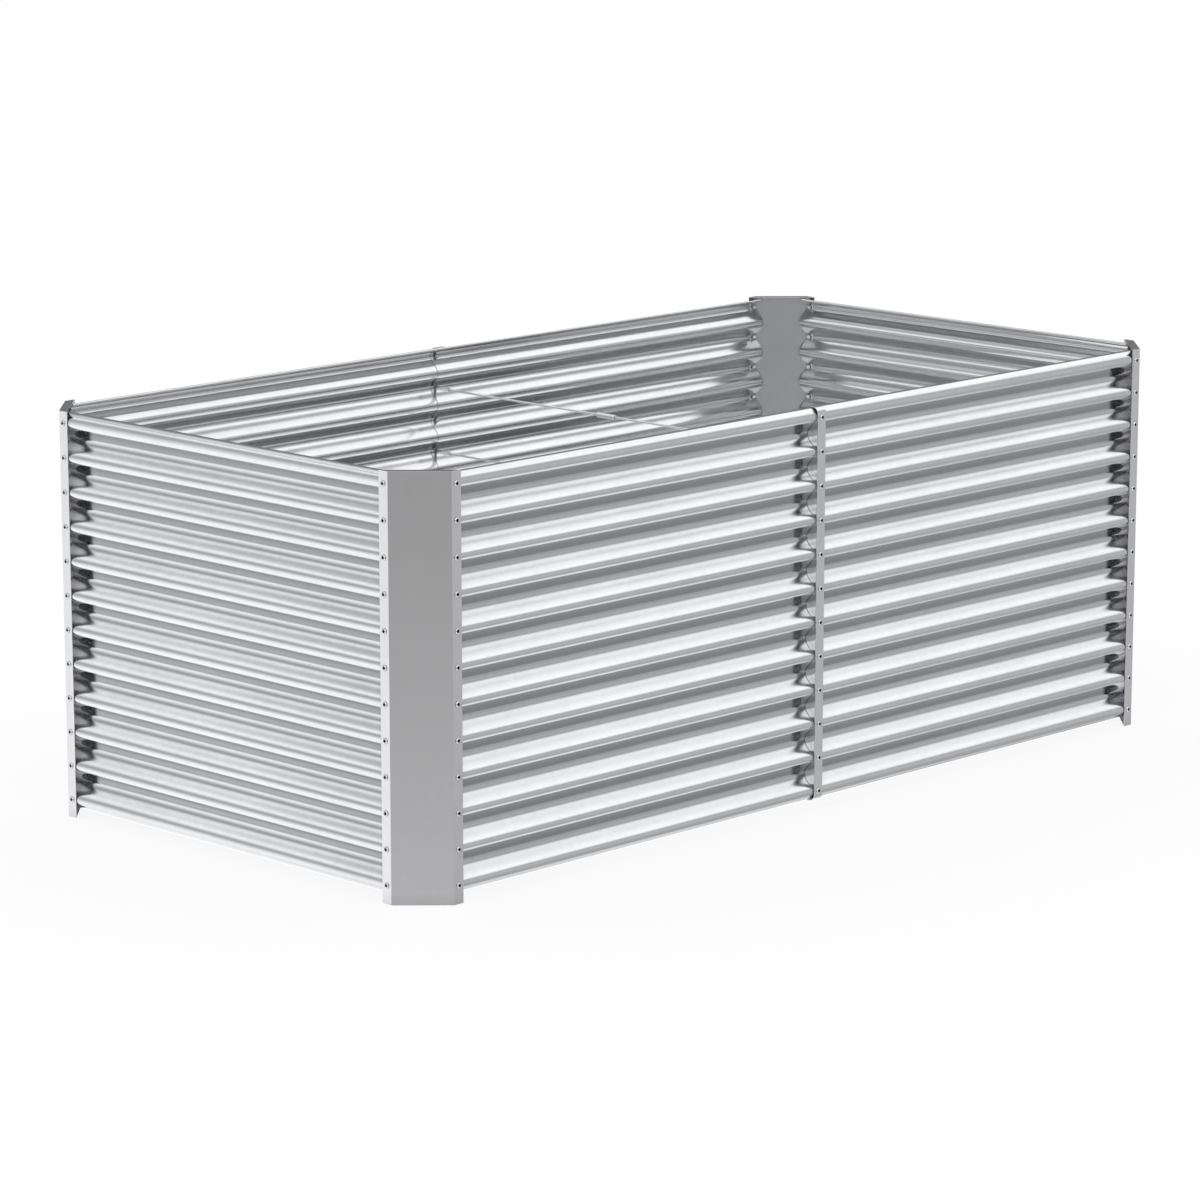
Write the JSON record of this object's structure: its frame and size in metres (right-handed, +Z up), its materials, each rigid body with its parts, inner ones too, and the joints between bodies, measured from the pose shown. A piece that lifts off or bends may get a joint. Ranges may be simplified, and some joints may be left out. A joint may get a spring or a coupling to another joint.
{
  "type": "raised garden bed",
  "caption": "Raised garden bed with ribbed galvanised walls, chamfered corner posts, mid straps and tie rods across an open planting space.",
  "frame": {"origin": "on the ground at the centre of the bed", "axes": "+X along the long walls, +Y across the bed, +Z up"},
  "size_m": [2.4448, 1.2428, 0.914],
  "materials": {
    "ribbed_sheet": "bright galvanised sheet, smooth and reflective, with a faint spangle",
    "post_sheet": "galvanised sheet, satin",
    "strap_sheet": "galvanised strip, satin",
    "zinc_fastener": "bright zinc plate",
    "zinc_rod": "zinc plated, satin"
  },
  "bodies": {
    "bed": {"post_front_left": "post_sheet", "post_front_right": "post_sheet", "post_back_left": "post_sheet", "post_back_right": "post_sheet", "panel_front_left": "ribbed_sheet", "panel_front_right": "ribbed_sheet", "panel_back_left": "ribbed_sheet", "panel_back_right": "ribbed_sheet", "panel_end_left": "ribbed_sheet", "panel_end_right": "ribbed_sheet", "strap_front": "strap_sheet", "strap_back": "strap_sheet", "rod_bolt_front_1": "zinc_fastener", "coupling_nut_front_1": "zinc_fastener", "tie_rod_front_1": "zinc_rod", "rod_bolt_front_2": "zinc_fastener", "coupling_nut_front_2": "zinc_fastener", "tie_rod_front_2": "zinc_rod", "rod_bolt_front_3": "zinc_fastener", "coupling_nut_front_3": "zinc_fastener", "tie_rod_front_3": "zinc_rod", "rod_bolt_front_4": "zinc_fastener", "coupling_nut_front_4": "zinc_fastener", "tie_rod_front_4": "zinc_rod", "rod_bolt_front_5": "zinc_fastener", "coupling_nut_front_5": "zinc_fastener", "tie_rod_front_5": "zinc_rod", "rod_bolt_back_1": "zinc_fastener", "coupling_nut_back_1": "zinc_fastener", "tie_rod_back_1": "zinc_rod", "rod_bolt_back_2": "zinc_fastener", "coupling_nut_back_2": "zinc_fastener", "tie_rod_back_2": "zinc_rod", "rod_bolt_back_3": "zinc_fastener", "coupling_nut_back_3": "zinc_fastener", "tie_rod_back_3": "zinc_rod", "rod_bolt_back_4": "zinc_fastener", "coupling_nut_back_4": "zinc_fastener", "tie_rod_back_4": "zinc_rod", "rod_bolt_back_5": "zinc_fastener", "coupling_nut_back_5": "zinc_fastener", "tie_rod_back_5": "zinc_rod"},
    "sleeve_1": {"rod_sleeve_1": "zinc_rod"},
    "sleeve_2": {"rod_sleeve_2": "zinc_rod"},
    "sleeve_3": {"rod_sleeve_3": "zinc_rod"},
    "sleeve_4": {"rod_sleeve_4": "zinc_rod"},
    "sleeve_5": {"rod_sleeve_5": "zinc_rod"}
  },
  "joints": [
    {"name": "sleeve_1_turn", "type": "hinge", "parent": "bed", "child": "sleeve_1", "pos_m": [0, 0.045, 0.8105], "axis": [0, 1, 0], "continuous": true},
    {"name": "sleeve_2_turn", "type": "hinge", "parent": "bed", "child": "sleeve_2", "pos_m": [0, 0.045, 0.6565], "axis": [0, 1, 0], "continuous": true},
    {"name": "sleeve_3_turn", "type": "hinge", "parent": "bed", "child": "sleeve_3", "pos_m": [0, 0.045, 0.5025], "axis": [0, 1, 0], "continuous": true},
    {"name": "sleeve_4_turn", "type": "hinge", "parent": "bed", "child": "sleeve_4", "pos_m": [0, 0.045, 0.3485], "axis": [0, 1, 0], "continuous": true},
    {"name": "sleeve_5_turn", "type": "hinge", "parent": "bed", "child": "sleeve_5", "pos_m": [0, 0.045, 0.1945], "axis": [0, 1, 0], "continuous": true}
  ]
}
